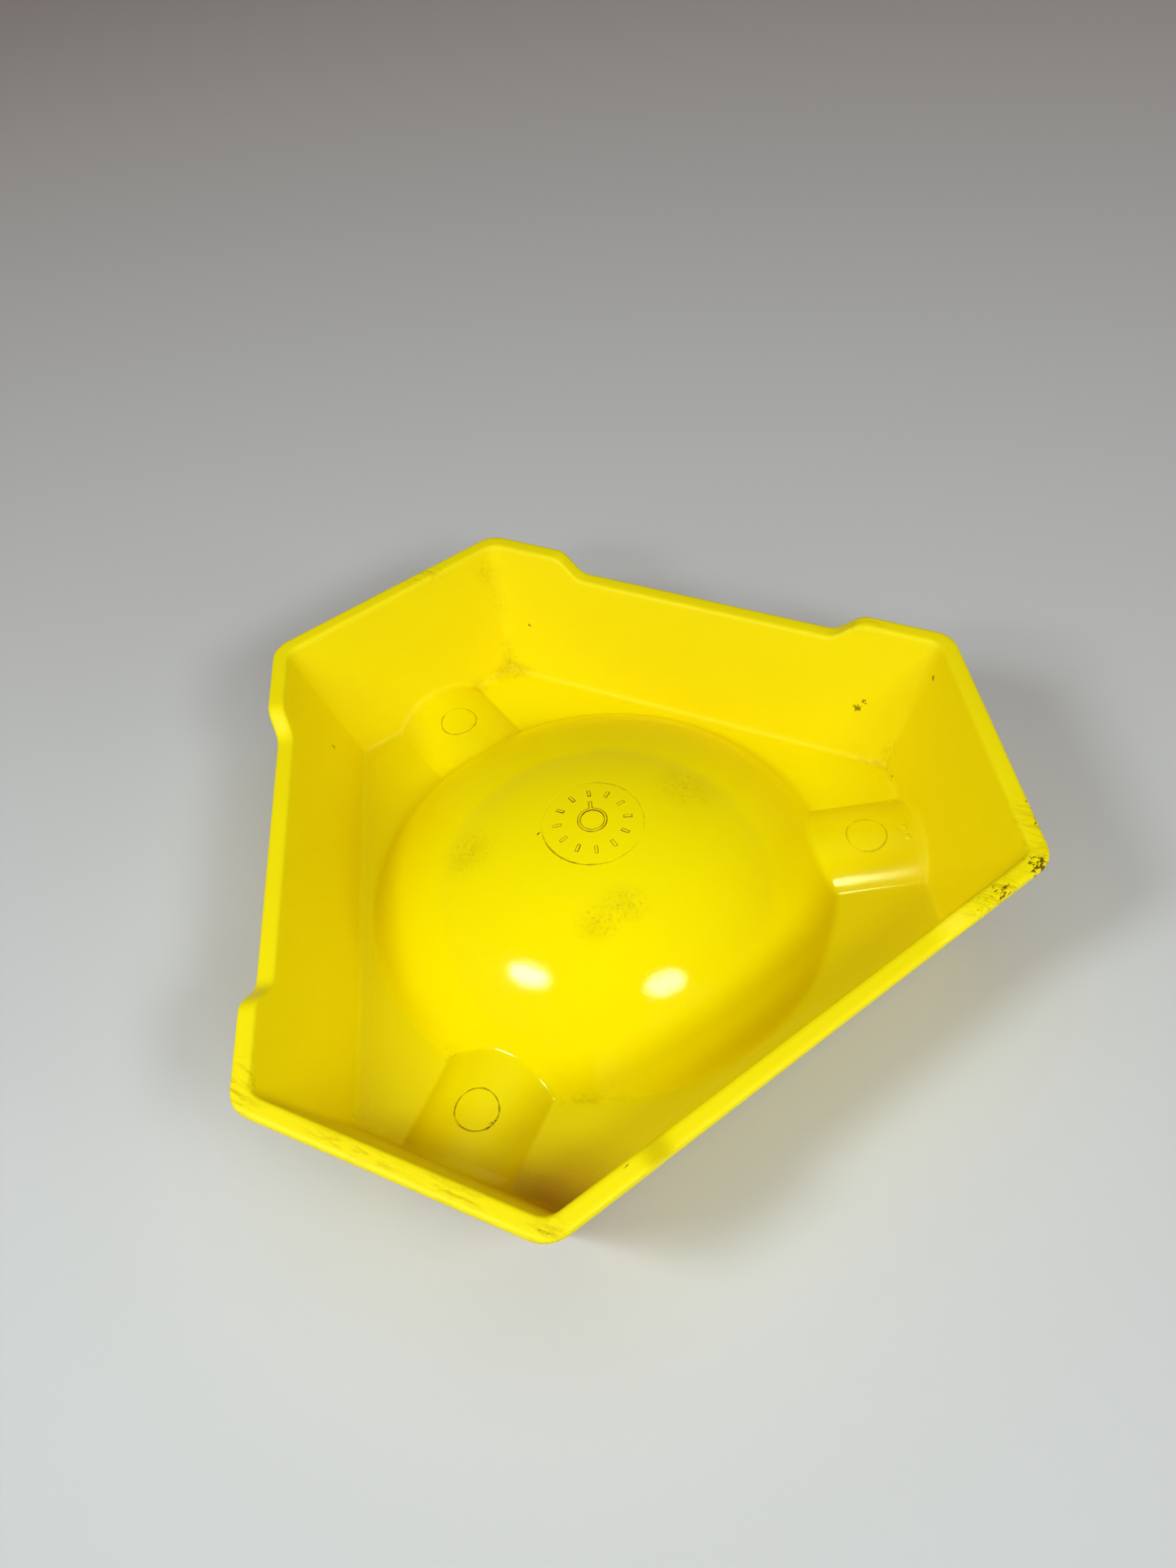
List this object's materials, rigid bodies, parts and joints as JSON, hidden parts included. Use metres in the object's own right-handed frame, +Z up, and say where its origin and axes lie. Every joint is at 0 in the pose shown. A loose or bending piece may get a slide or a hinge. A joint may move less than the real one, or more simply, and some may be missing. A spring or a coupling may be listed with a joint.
{
  "type": "ashtray",
  "caption": "Six-sided moulded ashtray lying face down: flared walls, a domed bowl underside and half-round ridges under the cigarette rests.",
  "frame": {"origin": "centre of the bounding box in plan, on the plane of the deck, which lies on the surface because the ashtray is stored face down", "axes": "+Z up out of the open underside, +X towards the middle of one short side, +Y along the longest extent"},
  "size_m": [0.1416, 0.1616, 0.033],
  "materials": {
    "melamine": "glossy yellow melamine moulding, slightly scratched, with dark scuffs on the rim and dirt in the corners"
  },
  "bodies": {
    "root": {"ashtray": "melamine"}
  },
  "joints": []
}
